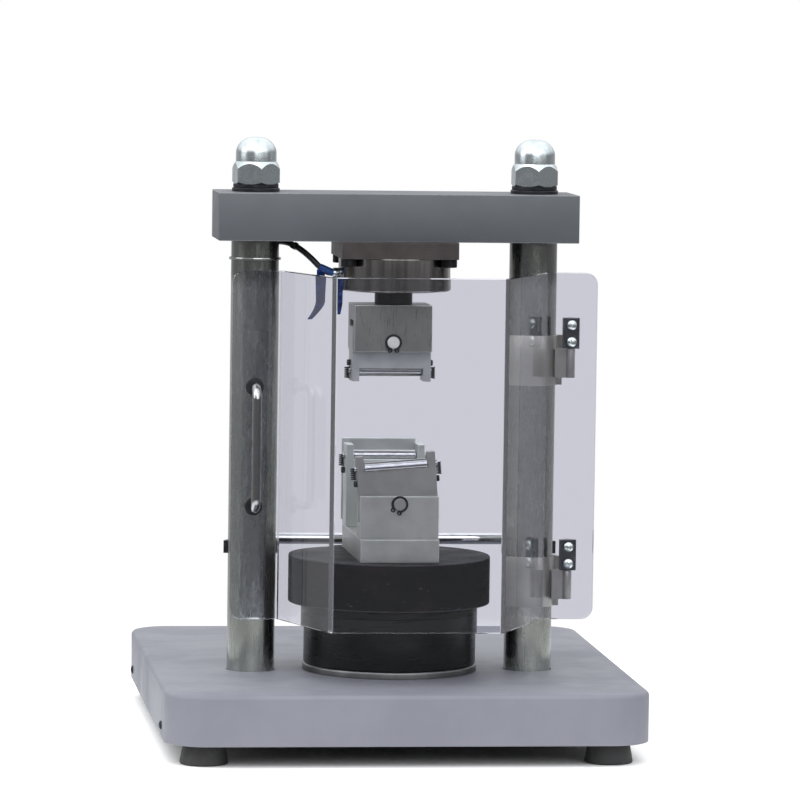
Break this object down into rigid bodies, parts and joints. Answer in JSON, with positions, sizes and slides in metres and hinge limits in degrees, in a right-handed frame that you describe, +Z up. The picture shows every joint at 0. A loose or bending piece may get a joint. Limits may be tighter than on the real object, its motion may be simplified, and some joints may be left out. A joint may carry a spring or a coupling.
{
  "type": "two-column hydraulic bench press",
  "caption": "Two-column hydraulic bench press with a load cell, self-aligning roller bending tools, a rising platen and a hinged clear guard on a low base.",
  "frame": {"origin": "middle of the base's outline, on the surface that the feet stand on", "axes": "+Z up, +X to the operator's right, +Y away from the operator"},
  "size_m": [0.4, 0.47, 0.5075],
  "materials": {
    "deck_paint": "satin grey-lavender paint",
    "grey_paint": "matt grey paint",
    "ground_steel": "hard-chromed ground bar, streaked",
    "turned_steel": "bright turned steel",
    "tool_steel": "satin ground tool steel",
    "plate_steel": "dull brownish grey steel",
    "black_oxide": "black oxide",
    "black_paint": "worn black enamel",
    "zinc": "bright zinc plate",
    "chrome": "polished chrome",
    "rubber": "black rubber",
    "cable_black": "black cable jacket",
    "clear_sheet": "clear acrylic sheet"
  },
  "bodies": {
    "press_frame": {"deck_cover": "deck_paint", "base_plate": "black_oxide", "bed_beam": "plate_steel", "foot_front_left": "rubber", "foot_front_right": "rubber", "foot_rear_left": "rubber", "foot_rear_right": "rubber", "column_left": "ground_steel", "column_right": "ground_steel", "column_nut_left": "zinc", "column_nut_right": "zinc", "flat_washer_left": "black_oxide", "flat_washer_right": "black_oxide", "spring_washer_left": "black_oxide", "spring_washer_right": "black_oxide", "acorn_nut_left": "zinc", "acorn_nut_right": "zinc", "crosshead": "grey_paint", "cell_mount_plate": "plate_steel", "cell_screw_front_left": "black_oxide", "cell_screw_front_right": "black_oxide", "cell_screw_rear_left": "black_oxide", "cell_screw_rear_right": "black_oxide", "load_cell": "turned_steel", "seat_collar": "black_oxide", "cell_cable_gland": "zinc", "load_cell_cable": "cable_black", "cable_ring": "zinc", "cable_grommet": "rubber", "upper_block": "tool_steel", "upper_pin": "zinc", "upper_circlip": "black_oxide", "cylinder_body": "black_paint", "cylinder_ring": "turned_steel", "oil_elbow": "zinc", "rear_bar": "chrome", "bar_bracket_left": "black_oxide", "bar_bracket_right": "black_oxide", "hinge_band_upper": "plate_steel", "hinge_band_lower": "plate_steel", "hinge_pin_upper": "zinc", "hinge_pin_lower": "zinc"},
    "ram": {"piston": "ground_steel", "platen": "black_paint", "fixture_base": "tool_steel", "front_support": "tool_steel", "front_pin": "zinc", "front_circlip": "black_oxide", "rear_saddle": "tool_steel", "stop_plate": "tool_steel"},
    "upper_rocker": {"upper_rocker": "tool_steel"},
    "upper_roller": {"upper_roller": "chrome"},
    "front_rocker": {"front_rocker": "tool_steel"},
    "front_roller": {"front_roller": "chrome"},
    "rear_roller": {"rear_roller": "chrome"},
    "guard": {"guard_sheet": "clear_sheet", "guard_handle": "chrome", "hinge_leaf_upper": "plate_steel", "hinge_leaf_lower": "plate_steel"}
  },
  "joints": [
    {"name": "ram_slide", "type": "slide", "parent": "press_frame", "child": "ram", "axis": [0, 0, 1], "range_m": [0, 0.04]},
    {"name": "guard_swing", "type": "hinge", "parent": "press_frame", "child": "guard", "pos_m": [0.1475, -0.0825, 0.25], "axis": [0, 0, 1], "range_deg": [0, 110]},
    {"name": "upper_rocker_tilt", "type": "hinge", "parent": "press_frame", "child": "upper_rocker", "pos_m": [-0.0023, -0.065, 0.3375], "axis": [0, 1, 0], "range_deg": [-3.4, 3.4]},
    {"name": "front_rocker_tilt", "type": "hinge", "parent": "ram", "child": "front_rocker", "pos_m": [0, -0.115, 0.2055], "axis": [0, 1, 0], "range_deg": [0, 9]},
    {"name": "upper_roller_spin", "type": "hinge", "parent": "upper_rocker", "child": "upper_roller", "pos_m": [-0.0023, -0.065, 0.3125], "axis": [1, 0, 0], "continuous": true},
    {"name": "front_roller_spin", "type": "hinge", "parent": "front_rocker", "child": "front_roller", "pos_m": [-0.00242, -0.115, 0.23621], "axis": [0.9969, 0, 0.0785], "continuous": true},
    {"name": "rear_roller_spin", "type": "hinge", "parent": "ram", "child": "rear_roller", "pos_m": [0, -0.015, 0.2363], "axis": [1, 0, 0], "continuous": true}
  ]
}
